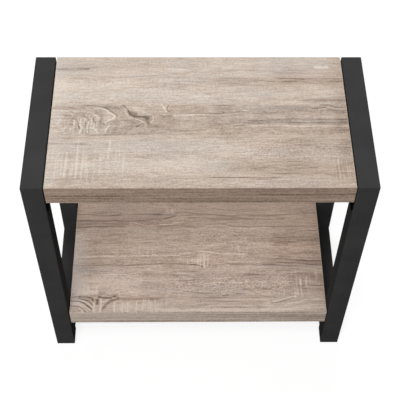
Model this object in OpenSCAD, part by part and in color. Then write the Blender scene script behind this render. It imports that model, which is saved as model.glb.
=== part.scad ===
// Two-tier side table. Two welded side frames of square steel tube carry a thick
// top board and a shelf board, which hang on cam fittings hidden in their ends.
// Millimetres. The origin is the middle of the footprint, on the floor.
// X runs along the table's width, Y from its front to its rear and Z up.

/* [Table] */
// Overall width, over the outer faces of both side frames
table_w = 610; // [450:5:900]
// Overall depth, over the front and the rear faces of the legs
table_d = 305; // [260:5:450]
// Overall height, from the floor to the top face
table_h = 570; // [400:5:760]
// Height of the shelf's upper face above the floor
shelf_h = 138; // [100:1:220]

/* [Steel frames] */
// Outer size of the square tube
tube_size = 38; // [32:1:50]
// Wall of the tube
tube_wall = 1.5; // [0.8:0.1:1.8]
// Outer radius of the tube's long corners
tube_corner_r = 2; // [2:0.1:4]
// Clear height under the bottom rails
rail_clearance = 12; // [4:1:40]

/* [Boards] */
// Thickness of the top board and of the shelf board
board_t = 42; // [34:1:60]
// Thickness of the upper and the lower skin of a board
skin_t = 4; // [2.5:0.5:6]
// Thickness of the edge bands
band_t = 1; // [0.8:0.1:2]
// Radius on the long outer corners of the edge bands
band_arris_r = 0.6; // [0.2:0.1:0.8]
// Width of the solid strip inside each end of a board
end_strip_w = 60; // [50:1:90]
// Width of the solid strip inside the front and the rear of a board
side_strip_w = 30; // [20:1:60]
// Width of one cell of the honeycomb core, across its flats
cell_size = 30; // [20:1:45]
// Thickness of the honeycomb's walls
cell_wall = 0.8; // [0.5:0.1:1.5]

/* [Brackets] */
// Thickness of the angle brackets under the top board
bracket_t = 2.5; // [2:0.5:4]
// Width of a bracket, along the table's depth
bracket_w = 20; // [12:1:24]
// How far a bracket reaches under the board
bracket_reach = 18; // [12:1:24]
// How far a bracket reaches down its leg
bracket_drop = 29; // [10:1:40]
// Distance from the outer face of the leg to the edge of its bracket
bracket_setback = 3; // [2:0.5:7]

/* [Cam fittings] */
// Distance between the two fittings at each end of the top board
top_fitting_pitch = 180; // [60:5:200]
// Diameter of a cam lock
cam_d = 15; // [12:0.5:20]
// Distance from a board's end to the axis of its cam locks
cam_setback = 34; // [24:1:40]
// How far a cam lock reaches past the axis of its bolt
cam_past_bolt = 6; // [5:0.5:10]
// Length of each arm of the cross recess in a cam lock
recess_l = 9; // [6:0.5:10]
// Width of the arms of that recess
recess_w = 1.6; // [1:0.1:2]
// Depth of that recess
recess_depth = 2; // [1:0.5:4]
// Diameter of the hole for a connecting bolt in a board's end
bolt_hole_d = 8; // [7.8:0.1:10]
// Diameter of a connecting bolt's shank and of its head
bolt_shank_d = 7; // [6.6:0.1:7.4]
// Diameter of a connecting bolt's neck, behind its head
bolt_neck_d = 4.6; // [3:0.1:5]
// How far the neck shows past the edge of its cam lock
neck_past_cam = 1.5; // [0.5:0.5:4]
// Length of a connecting bolt's head
bolt_head_l = 3; // [2:0.5:4]
// Diameter of a connecting bolt's thread
thread_d = 6; // [5:0.5:6]
// Length of thread that reaches past the tube's wall
thread_l = 10; // [6:0.5:12]
// Thickness of a rivet nut's flange, which spaces a board's end from the frame
nut_flange_t = 2; // [0.6:0.1:3]
// Diameter of a rivet nut's flange
nut_flange_d = 13; // [11:0.5:16]
// Diameter of a rivet nut's body
nut_body_d = 9; // [8:0.5:10]
// Diameter of the bulge that grips the inside of the tube's wall
nut_bulge_d = 11.5; // [11:0.5:14]
// Length of the bulge
nut_bulge_l = 3.5; // [2:0.5:5]
// Length of a rivet nut behind the tube's wall
nut_l = 12; // [8:0.5:16]
// Clearance around a round piece in a round hole
round_gap = 0.2; // [0.1:0.05:0.3]

/* [Feet] */
// Thickness of a foot's pad, below the end of the leg's tube
foot_t = 3; // [2:0.5:3.5]
// Chamfer around the bottom of the pad
foot_chamfer = 1.2; // [0.5:0.1:1.5]
// Length of the plug inside the leg's tube
plug_l = 16; // [10:1:25]
// Wall of the plug
plug_wall = 2; // [1.5:0.5:3]
// How far the plug's fins stand out from it
fin_h = 1.4; // [1:0.1:2]
// Thickness of a fin
fin_t = 1.2; // [1:0.1:2]
// Number of fins on the plug
fin_count = 3; // [2:1:4]

/* [Hidden] */
$fn = 48;
// How far a cutting shape reaches past the face that it cuts
cut_past = 1;

// The two sides and the two rows of legs, as signs of X and of Y
left = -1;
right = 1;
front = -1;
rear = 1;

coat_colour = "#36373a";
bracket_colour = "#131416";
foot_colour = "#1d1e20";
laminate_colour = "#c9b9a8";
band_colour = "#9c8b7b";
chipboard_colour = "#b58f5f";
paper_colour = "#c3a077";
zinc_colour = "#b4b8bc";
cam_colour = "#8f9398";

tube_inner_r = tube_corner_r - tube_wall;
tube_bore = tube_size - 2 * tube_wall;
// Axis of a leg, and the inner faces of the frames
leg_x = table_w / 2 - tube_size / 2;
leg_y = table_d / 2 - tube_size / 2;
frame_inner_x = table_w / 2 - tube_size;

// The boards end at the flanges of the rivet nuts, and are as deep as the frames
board_l = 2 * (frame_inner_x - nut_flange_t);
top_z = table_h - board_t;
shelf_z = shelf_h - board_t;
// A board without its edge bands, and the space between its strips and skins
panel_l = board_l - 2 * band_t;
panel_d = table_d - 2 * band_t;
core_l = panel_l - 2 * end_strip_w;
core_d = panel_d - 2 * side_strip_w;
core_t = board_t - 2 * skin_t;

// Bolts sit above their board's underside, level with the middle of the top rails
bolt_rise = board_t - tube_size / 2;
shank_l = cam_setback - cam_d / 2 - neck_past_cam;
cam_l = bolt_rise + cam_past_bolt;
cam_x = board_l / 2 - cam_setback;
top_fitting_y = top_fitting_pitch / 2;
shelf_fitting_y = leg_y;

// Shapes and places that several pieces share

// A centred square with round corners, from true arcs
module round_square(size, r) {
    square([size, size - 2 * r], center = true);
    square([size - 2 * r, size], center = true);
    for (x = [-1, 1], y = [-1, 1])
        translate([x * (size / 2 - r), y * (size / 2 - r)])
            circle(r = r);
}

// A length of the square tube along +Z from the origin
module tube(length) {
    linear_extrude(length)
        difference() {
            round_square(tube_size, tube_corner_r);
            round_square(tube_bore, tube_inner_r);
        }
}

// A cylinder along +X from the origin
module rod_x(d, length) {
    rotate([0, 90, 0])
        cylinder(d = d, h = length);
}

// Shapes drawn at the right side go to either side, left ones mirrored
module on_side(side) {
    mirror([side == left ? 1 : 0, 0, 0])
        children();
}

// Shapes drawn in the rear row go to either row, front ones mirrored
module in_row(row) {
    mirror([0, row == front ? 1 : 0, 0])
        children();
}

// Steel frames

// Cuts at 45 degrees through the upper rear corner of the right frame. The part
// of the corner above the cut belongs to the top rail, the part below it to the leg
module corner_cut(above) {
    reach = tube_size + cut_past;
    translate([leg_x, table_d / 2, table_h])
        rotate([90, 0, 90])
            linear_extrude(2 * reach, center = true)
                polygon([
                    [cut_past, cut_past], [-reach, -reach],
                    above ? [-reach, cut_past] : [cut_past, -reach]
                ]);
}

// The hole for a rivet nut in the inner wall of the right frame
module nut_hole(y, z) {
    translate([frame_inner_x - cut_past, y, z])
        rod_x(nut_body_d + 2 * round_gap, tube_wall + 2 * cut_past);
}

module leg(side, row) {
    color(coat_colour)
        on_side(side)
            in_row(row)
                difference() {
                    translate([leg_x, leg_y, foot_t])
                        tube(table_h - foot_t);
                    corner_cut(above = true);
                    nut_hole(shelf_fitting_y, shelf_z + bolt_rise);
                }
}

module top_rail(side) {
    color(coat_colour)
        on_side(side)
            difference() {
                translate([leg_x, table_d / 2, table_h - tube_size / 2])
                    rotate([90, 0, 0])
                        tube(table_d);
                for (row = [front, rear])
                    in_row(row) {
                        corner_cut(above = false);
                        nut_hole(top_fitting_y, top_z + bolt_rise);
                    }
            }
}

module bottom_rail(side) {
    rail_l = table_d - 2 * tube_size;
    color(coat_colour)
        on_side(side)
            translate([leg_x, rail_l / 2, rail_clearance + tube_size / 2])
                rotate([90, 0, 0])
                    tube(rail_l);
}

// An angle welded to each leg, which the top board rests on
module bracket(side, row) {
    color(bracket_colour)
        on_side(side)
            in_row(row)
                translate([frame_inner_x, table_d / 2 - bracket_setback, top_z])
                    rotate([90, 0, 0])
                        linear_extrude(bracket_w) {
                            translate([-bracket_t, -bracket_drop])
                                square([bracket_t, bracket_drop]);
                            translate([-bracket_reach, -bracket_t])
                                square([bracket_reach, bracket_t]);
                        }
}

// Feet: a pad under the leg, with a hollow finned plug that fills its tube

module foot_pad() {
    difference() {
        linear_extrude(foot_t)
            round_square(tube_size, tube_corner_r);
        for (turn = [0:90:270])
            rotate([90, 0, turn])
                translate([tube_size / 2, 0, 0])
                    linear_extrude(tube_size + 2 * cut_past, center = true)
                        polygon([
                            [-foot_chamfer, 0], [-foot_chamfer, -cut_past],
                            [cut_past, -cut_past], [cut_past, foot_chamfer], [0, foot_chamfer]
                        ]);
    }
}

module foot_plug() {
    plug_size = tube_bore - 2 * fin_h;
    fin_pitch = (plug_l - fin_t) / fin_count;
    difference() {
        union() {
            linear_extrude(plug_l)
                square(plug_size, center = true);
            for (i = [1:fin_count])
                translate([0, 0, i * fin_pitch])
                    linear_extrude(fin_t)
                        round_square(tube_bore - round_gap, tube_inner_r);
        }
        translate([0, 0, -cut_past])
            linear_extrude(plug_l + 2 * cut_past)
                square(plug_size - 2 * plug_wall, center = true);
    }
}

module foot(side, row) {
    color(foot_colour)
        on_side(side)
            in_row(row)
                translate([leg_x, leg_y, 0]) {
                    foot_pad();
                    translate([0, 0, foot_t])
                        foot_plug();
                }
}

// Boards: z is the height of a board's underside, fitting_y the place of its fittings

// Holes for the cam locks at the right end of a board
module cam_holes(z, fitting_y) {
    for (row = [front, rear])
        translate([cam_x, row * fitting_y, z - cut_past])
            cylinder(d = cam_d + 2 * round_gap, h = cam_l + cut_past);
}

// Holes for the connecting bolts at the right end of a board
module bolt_holes(z, fitting_y) {
    for (row = [front, rear])
        translate([cam_x, row * fitting_y, z + bolt_rise])
            rod_x(bolt_hole_d, cam_setback + cut_past);
}

module upper_skin(z) {
    color(laminate_colour)
        translate([0, 0, z + board_t - skin_t])
            linear_extrude(skin_t)
                square([panel_l, panel_d], center = true);
}

module lower_skin(z, fitting_y) {
    color(laminate_colour)
        difference() {
            translate([0, 0, z])
                linear_extrude(skin_t)
                    square([panel_l, panel_d], center = true);
            for (side = [left, right])
                on_side(side)
                    cam_holes(z, fitting_y);
        }
}

module side_strip(z, row) {
    color(chipboard_colour)
        in_row(row)
            translate([0, panel_d / 2 - side_strip_w / 2, z + skin_t])
                linear_extrude(core_t)
                    square([core_l, side_strip_w], center = true);
}

module end_strip(z, side, fitting_y) {
    color(chipboard_colour)
        on_side(side)
            difference() {
                translate([panel_l / 2 - end_strip_w / 2, 0, z + skin_t])
                    linear_extrude(core_t)
                        square([end_strip_w, panel_d], center = true);
                cam_holes(z, fitting_y);
                bolt_holes(z, fitting_y);
            }
}

// The outline of an edge band across its length: outwards along x, upwards along y
module band_section() {
    r = band_arris_r;
    intersection() {
        square([band_t, board_t]);
        union() {
            square([band_t - r, board_t]);
            translate([0, r])
                square([band_t, board_t - 2 * r]);
            for (height = [r, board_t - r])
                translate([band_t - r, height])
                    circle(r = r);
        }
    }
}

// Bands along the front and the rear cover the ends of the bands at the sides
module long_band(z, row) {
    color(band_colour)
        in_row(row)
            translate([0, panel_d / 2, z])
                rotate([90, 0, 90])
                    linear_extrude(board_l, center = true)
                        band_section();
}

module end_band(z, side, fitting_y) {
    color(band_colour)
        on_side(side)
            difference() {
                translate([panel_l / 2, 0, z])
                    rotate([90, 0, 0])
                        linear_extrude(panel_d, center = true)
                            band_section();
                bolt_holes(z, fitting_y);
            }
}

// Rows of pointed cells, every second row moved by half a cell
module honeycomb(z) {
    row_pitch = cell_size * sqrt(3) / 2;
    last_cell = ceil(core_l / cell_size / 2) + 1;
    last_row = ceil(core_d / row_pitch / 2);
    color(paper_colour)
        translate([0, 0, z + skin_t])
            linear_extrude(core_t)
                difference() {
                    square([core_l, core_d], center = true);
                    for (i = [-last_row:last_row], j = [-last_cell:last_cell])
                        translate([(j + (i % 2 == 0 ? 0 : 0.5)) * cell_size, i * row_pitch])
                            rotate(30)
                                circle(d = (cell_size - cell_wall) / cos(30), $fn = 6);
                }
}

// Cam fittings: each is drawn with its bolt along X and its board's end at the origin

// Repeats a fitting at both ends of both boards, in both rows
module at_fittings() {
    for (side = [left, right], row = [front, rear])
        on_side(side) {
            translate([board_l / 2, row * top_fitting_y, top_z + bolt_rise])
                children();
            translate([board_l / 2, row * shelf_fitting_y, shelf_z + bolt_rise])
                children();
        }
}

module rivet_nut() {
    behind_wall = nut_flange_t + tube_wall;
    difference() {
        union() {
            rod_x(nut_flange_d, nut_flange_t);
            rod_x(nut_body_d, behind_wall + nut_l);
            translate([behind_wall, 0, 0])
                rod_x(nut_bulge_d, nut_bulge_l);
        }
        translate([-cut_past, 0, 0])
            rod_x(thread_d + round_gap, behind_wall + nut_l + 2 * cut_past);
    }
}

module connecting_bolt() {
    translate([-cam_setback - bolt_head_l / 2, 0, 0])
        rod_x(bolt_shank_d, bolt_head_l);
    translate([-cam_setback, 0, 0])
        rod_x(bolt_neck_d, cam_setback);
    translate([-shank_l, 0, 0])
        rod_x(bolt_shank_d, shank_l);
    rod_x(thread_d, nut_flange_t + tube_wall + thread_l);
}

module cam_lock() {
    translate([-cam_setback, 0, 0])
        difference() {
            translate([0, 0, -bolt_rise])
                cylinder(d = cam_d, h = cam_l - round_gap);
            // The pocket for the bolt's head, and the slot that its neck leaves by
            translate([-bolt_head_l / 2 - round_gap, 0, 0])
                rod_x(bolt_shank_d + 2 * round_gap, bolt_head_l + round_gap);
            rod_x(bolt_neck_d + 2 * round_gap, cam_d);
            for (turn = [0, 90])
                rotate([0, 0, turn])
                    translate([0, 0, -bolt_rise])
                        cube([recess_l, recess_w, 2 * recess_depth], center = true);
        }
}

leg(left, front);  // left_front_leg
leg(left, rear);  // left_rear_leg
top_rail(left);  // left_top_rail
bottom_rail(left);  // left_bottom_rail
leg(right, front);  // right_front_leg
leg(right, rear);  // right_rear_leg
top_rail(right);  // right_top_rail
bottom_rail(right);  // right_bottom_rail
for (side = [left, right], row = [front, rear])  // brackets
        bracket(side, row);
foot(left, front);  // left_front_foot
foot(left, rear);  // left_rear_foot
foot(right, front);  // right_front_foot
foot(right, rear);  // right_rear_foot
upper_skin(top_z);  // top_upper_skin
lower_skin(top_z, top_fitting_y);  // top_lower_skin
side_strip(top_z, front);  // top_front_strip
side_strip(top_z, rear);  // top_rear_strip
end_strip(top_z, left, top_fitting_y);  // top_left_strip
end_strip(top_z, right, top_fitting_y);  // top_right_strip
honeycomb(top_z);  // top_core
long_band(top_z, front);  // top_front_band
long_band(top_z, rear);  // top_rear_band
end_band(top_z, left, top_fitting_y);  // top_left_band
end_band(top_z, right, top_fitting_y);  // top_right_band
upper_skin(shelf_z);  // shelf_upper_skin
lower_skin(shelf_z, shelf_fitting_y);  // shelf_lower_skin
side_strip(shelf_z, front);  // shelf_front_strip
side_strip(shelf_z, rear);  // shelf_rear_strip
end_strip(shelf_z, left, shelf_fitting_y);  // shelf_left_strip
end_strip(shelf_z, right, shelf_fitting_y);  // shelf_right_strip
honeycomb(shelf_z);  // shelf_core
long_band(shelf_z, front);  // shelf_front_band
long_band(shelf_z, rear);  // shelf_rear_band
end_band(shelf_z, left, shelf_fitting_y);  // shelf_left_band
end_band(shelf_z, right, shelf_fitting_y);  // shelf_right_band
color(zinc_colour) at_fittings() rivet_nut();  // rivet_nuts
color(zinc_colour) at_fittings() connecting_bolt();  // connecting_bolts
color(cam_colour) at_fittings() cam_lock();  // cam_locks
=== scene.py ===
"""The looks of a two-tier side table: driftwood-look boards in dark steel side frames.

Metres. X runs along the table's width, Y from its front to its rear and Z up.
"""

from collections import namedtuple
from math import radians

import bpy
from mathutils import Matrix, Vector

MM = 0.001

# The camera: where it stands, how it is turned in degrees, and its lens in millimetres
CAMERA_PLACE = Vector((-0.0242, -1.0876, 1.8473))
CAMERA_DOWN = 54.488
CAMERA_RIGHT = 1.441
CAMERA_ROLL = 1.043
CAMERA_LENS = 84.53

# How bright the even light from all round is, and where the lamps point
ROOM_LIGHT = 0.05
TABLE_MIDDLE = Vector((0, 0, 0.35))

# The floor: its radius, its grey, and the glow that whitens it for the camera alone
FLOOR_RADIUS = 6
FLOOR_GREY = 0.35
FLOOR_GLOW = 0.8

# How much the printed boards and the painted steel shine, from 0 to 1, and how many
# faint clouds there are to the metre in paint and plastic
LAMINATE_GLOSS = 0.3
COAT_GLOSS = 0.0
COAT_CLOUDS = 14

# How dark the boards' print is by itself, from 0 to 1, and how far each part of its grain
# changes that. The figure adds to the lines where the rings close.
BOARD_PRINT = {
    "plain": 0.42, "clouds": 0.20, "broad rings": 0.35, "lines": 0.62, "figure": 0.2,
    "fibres": 0.65, "flecks": 0.80, "pores": 0.08,
}
# The same for the edge bands
BAND_PRINT = {
    "plain": 0.39, "broad rings": 0.5, "lines": 0.9, "streaks": 1.3, "flecks": 1.3,
    "fibres": 0.8,
}
# How much the print's clouds change its grey, and how much a saw stroke bleaches the print
GREY_CLOUDS = 0.9
SAW_BLEACH = 0.45
# How far apart the seeds of two planks side by side are, and of two edges a metre apart
SEED_STEP = 3.7
SEED_PER_METRE = 31
# Where along X the painted shade at the right end of a band starts, and where it is darkest
RIGHT_END_PAINTED_SHADE = (80 * MM, 280 * MM)

# How far growth rings stray in long waves, in ripples and in the swirls of a figure, and
# how dense they are in front of their pith, against 1 behind it
RING_WAVE = 14 * MM
RING_RIPPLE = 3 * MM
RING_SWIRL = 22 * MM
RING_FRONT = 0.6
# How far the fibres stray
FIBRE_WAVE = 3 * MM

# The marks of the print: how far they waver with the grain along and across the board,
# how far from its middle a mark starts to show and is whole, in half widths, and how much
# the fibres tear the edge and the rings break the inside of the most ragged one
WAVER_ALONG = 2 * MM
WAVER_ACROSS = 5 * MM
MARK_EDGE = (1.1, 0.2)
TORN_EDGE = 2.2
BROKEN_INSIDE = 6

# A plank of the print, in millimetres: its rear edge on the board, where its pith runs,
# how deep the pith lies at the left and at the right, between which two places along the
# board that depth changes, how dark the plank is and how grey
Plank = namedtuple("Plank", "rear pith left_depth right_depth bend_start bend_end dark grey")

# A mark in the print, in millimetres: where it starts and ends, half its width, how
# ragged it is, how much it darkens the wood, or bleaches it below 0, how grey it turns
# it, and how far it bows to the left of its way
Mark = namedtuple("Mark", "x0 y0 x1 y1 half_width ragged dark grey bow", defaults=(0, 0))

# A line through several points, in millimetres, otherwise like a mark but with round ends
Line = namedtuple("Line", "points half_width ragged dark grey", defaults=(0,))

# A patch with pale strokes of a saw, in millimetres: its middle, its half sizes and how
# strong the strokes are
SawMarks = namedtuple("SawMarks", "x y half_x half_y strength")

# A mottled patch, in millimetres: from where to where it reaches, half its width and how
# strong its spots are
Mottle = namedtuple("Mottle", "x0 y0 x1 y1 half_width strength")

TOP_PLANKS = [
    Plank(155, -300, 60, 60, -300, 300, -0.09, 0.58),
    Plank(101, -260, 60, 60, -300, 300, -0.10, 0.47),
    Plank(35, 2, 2, 62, -300, -100, 0.02, 0.5),
    Plank(-36, -260, 60, 60, -300, 300, -0.05, 0.5),
    Plank(-130, -400, 60, 60, -300, 300, 0.01, 0.5),
]
TOP_ZONES = {
    # Painted light that pales the left end and painted shade that darkens the right end, with
    # broad tone patches of the print
    "the ends": [
        Mark(-266, 200, -266, -200, 36, 0.0, -0.16),
        Mark(262, 210, 262, -120, 26, 0.0, 0.13),
        Mark(60, -112, 300, -112, 30, 0.2, 0.06, -0.18),
        Mark(-150, -27, 300, -29, 14, 0.3, 0.08, -0.04),
        Mark(-280, -62, 120, -62, 18, 0.3, -0.09, 0.15),
        Mark(130, 98, 320, 98, 30, 0.3, 0.10, -0.12),
        Mark(30, -48, 210, -52, 16, 0.3, 0.11, -0.05),
    ],
    "rear planks": [
        Mark(-270, 122, -188, 121, 7, 0.5, 0.25, 0.16),
        Mark(-204, 121, -190, 119, 3.5, 0.6, -0.34, 0.06),
        Mark(-62, 121, -24, 122, 4, 0.8, -0.18),
        Mark(212, 127, 243, 128, 4.5, 0.4, -0.44),
        Mark(-270, 101, -130, 102, 1.6, 0.4, 0.13),
        Mark(-140, 102, 5, 118, 1.6, 0.4, 0.15, bow=-2),
        Mark(-5, 118, 270, 119, 1.6, 0.5, 0.13),
        Mark(-110, 84, 60, 93, 3, 0.9, 0.10, bow=2),
        Mark(20, 92, 275, 90, 13, 0.4, 0.17),
        Mark(30, 92, 270, 91, 2.2, 0.7, 0.13),
        Mark(140, 99, 270, 96, 1.6, 0.5, 0.17),
        Mark(180, 45, 275, 44, 8, 0.6, 0.10, 0.10),
        Mark(-290, 72, 40, 62, 26, 0.3, -0.09),
    ],
    # Lines that run in from the left, turn to the front and close to the right
    "heart": [
        Line([(-202, 34), (-187, 32), (-175, 30), (-163, 24), (-153, 15), (-147, 8)],
             1.7, 0.4, 0.30, 0.04),
        Line([(-183, 27), (-170, 24), (-162, 17), (-150, 8), (-155, 2), (-163, -3), (-168, -8)],
             2, 0.4, -0.46),
        Line([(-161, -14), (-164, -20), (-167, -29)], 1.9, 0.4, -0.45),
        Line([(-275, 20), (-215, 20), (-192, 16), (-184, 9), (-180, 2)], 1.5, 0.5, -0.24),
        Line([(-275, 11), (-225, 9), (-204, 7), (-197, 0), (-198, -8)], 1.8, 0.5, 0.28, 0.04),
        Line([(-228, 12), (-207, 4), (-203, -3)], 1.3, 0.4, -0.22),
        Line([(-275, 3), (-224, 2), (-217, -3), (-215, -14), (-212, -21)], 1.7, 0.5, 0.26, 0.04),
        Line([(-186, 20), (-178, 12), (-174, 4), (-176, -8)], 2.7, 0.5, 0.19, 0.06),
        Line([(-203, -4), (-202, -18)], 1.9, 0.4, 0.28),
        Line([(-190, 2), (-187, -6)], 1.9, 0.4, 0.34),
        Line([(-184, -4), (-186, -12), (-184, -18)], 1.7, 0.4, 0.30),
        Line([(-178, -4), (-176, -16)], 2.6, 0.5, 0.17),
        Line([(-223, -2), (-222, -12)], 1.6, 0.4, -0.45),
        Line([(-211, 1), (-212, -12), (-209, -20), (-212, -31)], 1.8, 0.5, -0.46),
        Line([(-197, -6), (-199, -18), (-198, -30)], 1.8, 0.5, -0.45),
        Line([(-191, -1), (-192, -12)], 1.4, 0.4, -0.33),
        Line([(-187, -12), (-188, -20), (-183, -24), (-180, -30)], 1.8, 0.5, -0.46),
        Line([(-233, -17), (-238, -20), (-240, -25), (-237, -30), (-232, -32), (-227, -28),
              (-227, -21), (-233, -17)], 1.3, 0.3, -0.28),
        Mark(-275, 28, -200, 27, 4.2, 0.6, 0.13),
        Mark(-275, -17, -246, -20, 1.9, 0.5, 0.28),
        Mark(-180, 29, -134, 26, 6.3, 0.4, 0.13, 0.16),
        Mark(-122, 27, -96, 25, 8.4, 0.3, -0.12),
        Mark(-164, -16, -124, -17, 12.6, 0.4, -0.02),
        Mark(-130, 19, -110, 13, 5.2, 0.4, 0.34),
        Mark(-102, 8, -80, 9, 6.3, 0.3, 0.17),
        Mark(-128, -1, -42, -4, 24, 0.4, 0.13),
        Mark(-114, -15, -97, -14, 3.7, 0.3, 0.20),
        Mark(-96, -15, -62, -13, 7.4, 0.5, 0.14),
        Mark(-206, -36, -110, -36, 1.4, 0.8, 0.30),
    ],
    # The dark line that swings out of the heart, with the eye in front of it
    "dark swing": [
        Line([(-138, 33), (-132, 28), (-127, 20), (-125, 14)], 2.1, 0.3, 0.49),
        Line([(-125, 12), (-120, 9), (-110, 7), (-97, 5), (-92, 2)], 3.1, 0.4, 0.51),
        Line([(-95, 3), (-93, -4), (-91, -11)], 4.4, 0.5, 0.23),
        Line([(-133, 24), (-131, 14), (-129, 8)], 4.8, 0.4, -0.13, 0.16),
        Line([(-113, -18), (-106, -13), (-101, -9), (-99, -14), (-101, -18), (-112, -18)],
             1.7, 0.3, 0.26),
        Line([(-123, 5), (-112, 1), (-103, -4), (-99, -8)], 1.6, 0.3, -0.36),
        Line([(-113, -12), (-107, -10), (-102, -7)], 1.4, 0.3, -0.27),
        Line([(-93, 11), (-84, 10), (-83, 4), (-83, -2), (-87, -8), (-79, -9)], 1.6, 0.3, -0.36),
        Line([(-103, 18), (-95, 15), (-88, 11)], 1.6, 0.3, -0.31),
    ],
    "tongue": [
        Mark(-60, 23, 20, 23, 10, 0.3, 0.12, -0.10),
        Mark(-44, 32, 70, 33, 1.4, 0.6, 0.16),
        Mark(-52, 13, 50, 14, 1.6, 0.6, 0.19),
        Mark(-50, 9, -6, 11, 1.5, 0.3, -0.39),
        Mark(-20, 9, 50, 10, 1.4, 0.5, -0.22),
        Mark(-74, 5, -46, 8, 4, 0.8, 0.16, 0.20),
        Mark(50, 9, 112, 9, 5, 0.3, -0.04, 0.25),
        Line([(-69, 36), (-65, 30), (-62, 22), (-60, 17)], 2.1, 0.5, -0.31),
        Line([(-56, 32), (-59, 25), (-58, 20), (-53, 17)], 1.6, 0.3, 0.36),
        Line([(-72, 10), (-62, 6), (-66, 2)], 1.6, 0.5, 0.21, 0.15),
        Line([(42, 16), (62, 17), (72, 19), (78, 18)], 2, 0.4, 0.27, -0.10),
        Line([(77, 21), (83, 21)], 1.6, 0.4, -0.37),
    ],
    "grey streaks": [
        Mark(80, 20, 300, 22, 14, 0.2, 0.12, 0.28),
        Mark(50, -5, 300, -4, 9, 0.2, 0.12, 0.20),
        Mark(100, 17, 210, 17, 3, 0.6, 0.11, -0.20),
        Mark(120, 31, 206, 31, 1.8, 0.7, 0.14, -0.10),
        Mark(140, 26, 200, 26, 5, 0.3, 0.02, 0.25),
        Mark(96, 7, 120, 7, 1.8, 0.4, 0.19, -0.20),
        Mark(96, 43, 290, 44, 7, 0.4, 0.08, -0.10),
        Mark(30, -23, 190, -24, 6, 0.3, 0.05, -0.03),
        Mark(50, -18.5, 230, -18.5, 1.2, 0.5, 0.12, -0.15),
        Mark(70, -15.5, 300, -15.5, 1.7, 0.3, -0.27),
        Mark(58, -15, 84, -15, 1.5, 0.3, 0.30, 0.15),
        Line([(86, -3), (104, -4), (120, -2), (142, -1)], 2.2, 0.5, 0.24, 0.15),
        Line([(80, -8), (100, -10), (125, -8), (158, -8), (190, -7), (215, -8), (275, -9)],
             2.2, 0.6, 0.21, 0.15),
        Line([(140, 0), (168, 1), (200, -1), (225, 0), (275, 0)], 1.9, 0.6, 0.21, 0.15),
        Mark(234, 0, 290, 0, 2.4, 0.5, 0.14),
        Mark(114, -2, 132, -3, 2, 0.2, -0.16, 0.25),
        Mark(158, -4, 230, -4, 1.4, 0.4, -0.20, 0.15),
        Line([(203, 25), (215, 26), (226, 27)], 1.7, 0.4, 0.24),
        Line([(214, 23), (224, 25), (233, 28), (241, 25), (275, 23)], 1.3, 0.4, -0.27),
        Line([(218, 33), (234, 33), (241, 28), (275, 27)], 2.2, 0.4, 0.27),
    ],
    "front planks": [
        Mottle(60, -70, 280, -80, 26, 0.50),
        Mark(-100, -38, 90, -17, 1.6, 0.5, -0.19),
        Mark(-60, -31, 60, -21, 1.6, 0.5, 0.13),
        Mark(-90, -16, 50, -17, 5, 0.5, 0.03),
        Mark(-270, -44, -140, -41, 2.4, 0.8, 0.17, 0.16),
        Mark(-270, -56, -190, -56, 3.4, 0.8, 0.19, 0.20),
        Mark(-250, -106, 60, -100, 20, 0.4, -0.16),
        Mark(5, -129, 140, -130, 1.7, 0.4, 0.36),
        Mark(20, -113, 275, -106, 15, 0.6, 0.09),
        Mark(110, -94, 245, -103, 2.4, 0.7, 0.13, bow=2),
        Mark(100, -118, 270, -126, 2.8, 0.7, 0.13),
        # Broad darkening over the right front, partly print and partly painted shade
        Mark(140, -60, 280, -62, 24, 0.3, 0.10),
        Mark(226, -114, 290, -124, 30, 0.3, 0.15),
        Mark(196, -72, 300, -76, 40, 0.3, 0.05),
    ],
    "deepest saw strokes": [
        Mark(-243, -84, -244, -125, 1.7, 0.6, -0.16),
        Mark(-232, -80, -233, -130, 1.5, 0.6, -0.16),
        Mark(-212, -42, -213, -135, 1.6, 0.4, -0.26),
        Mark(-197, -68, -197, -132, 1.6, 0.5, -0.20),
        Mark(-172, -74, -172, -128, 1.7, 0.5, -0.18),
        Mark(-157, -44, -157, -74, 1.7, 0.3, -0.32),
        Mark(-157, -78, -158, -132, 1.5, 0.6, -0.16),
        Mark(-133, -76, -133, -132, 1.6, 0.5, -0.16),
        Mark(238, -82, 239, -134, 1.7, 0.4, -0.26),
        Mark(252, -88, 253, -134, 1.5, 0.5, -0.18),
    ],
}
TOP_SAW_MARKS = [
    SawMarks(-192, -100, 74, 34, 0.6),
    SawMarks(246, -112, 22, 26, 0.5),
    SawMarks(-215, -14, 44, 20, 0.5),
    SawMarks(-40, 88, 40, 14, 0.25),
]

# The shelf's planks grow darker towards the rear, partly print and partly painted shade under the
# top board
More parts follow.
